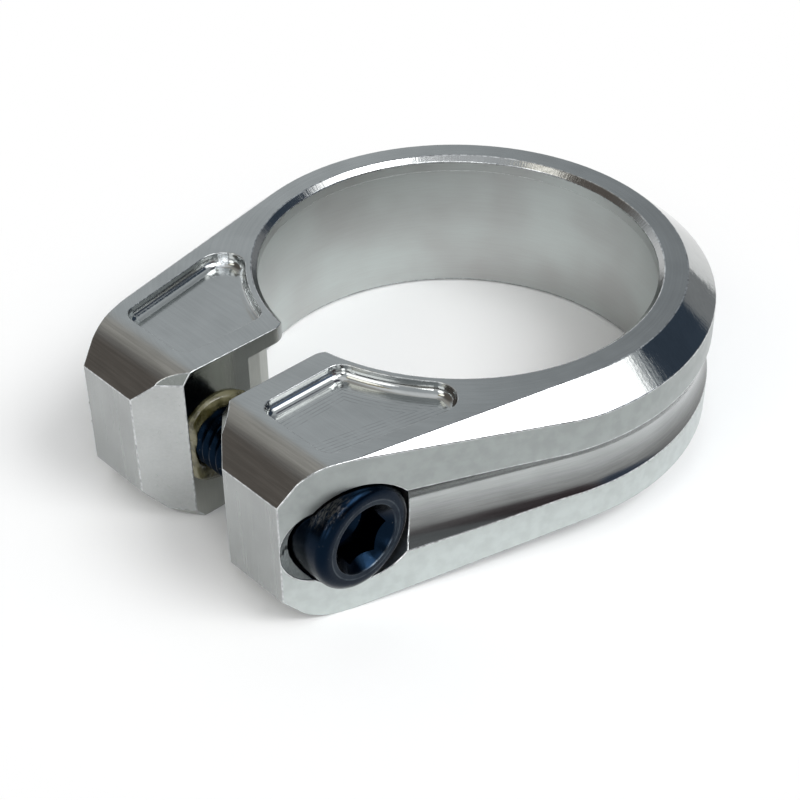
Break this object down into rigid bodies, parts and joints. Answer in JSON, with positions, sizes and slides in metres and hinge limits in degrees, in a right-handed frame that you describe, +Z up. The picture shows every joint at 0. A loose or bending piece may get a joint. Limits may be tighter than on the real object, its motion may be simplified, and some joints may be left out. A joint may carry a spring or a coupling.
{
  "type": "seatpost clamp",
  "caption": "Bolt-together bicycle seatpost clamp: a split machined ring with pocketed ears, a socket head cross bolt and a lip over the seat tube's end.",
  "frame": {"origin": "on the bore axis, at the clamp's bottom face", "axes": "+Z up along the seatpost, the ears point toward -Y, the bolt runs along X with its head on the +X side"},
  "size_m": [0.0412, 0.0489, 0.0138],
  "materials": {
    "polished_aluminium": "machined and polished",
    "black_steel": "black oxide, lightly scuffed",
    "thread_sealant": "glossy, set olive brown sealant"
  },
  "bodies": {
    "clamp": {"clamp_body": "polished_aluminium", "sealant_ring": "thread_sealant"},
    "bolt": {"clamp_bolt": "black_steel"}
  },
  "joints": [
    {"name": "bolt_turn", "type": "hinge", "parent": "clamp", "child": "bolt", "pos_m": [0, -0.0228, 0.0069], "axis": [1, 0, 0], "range_deg": [-450, 0]}
  ]
}
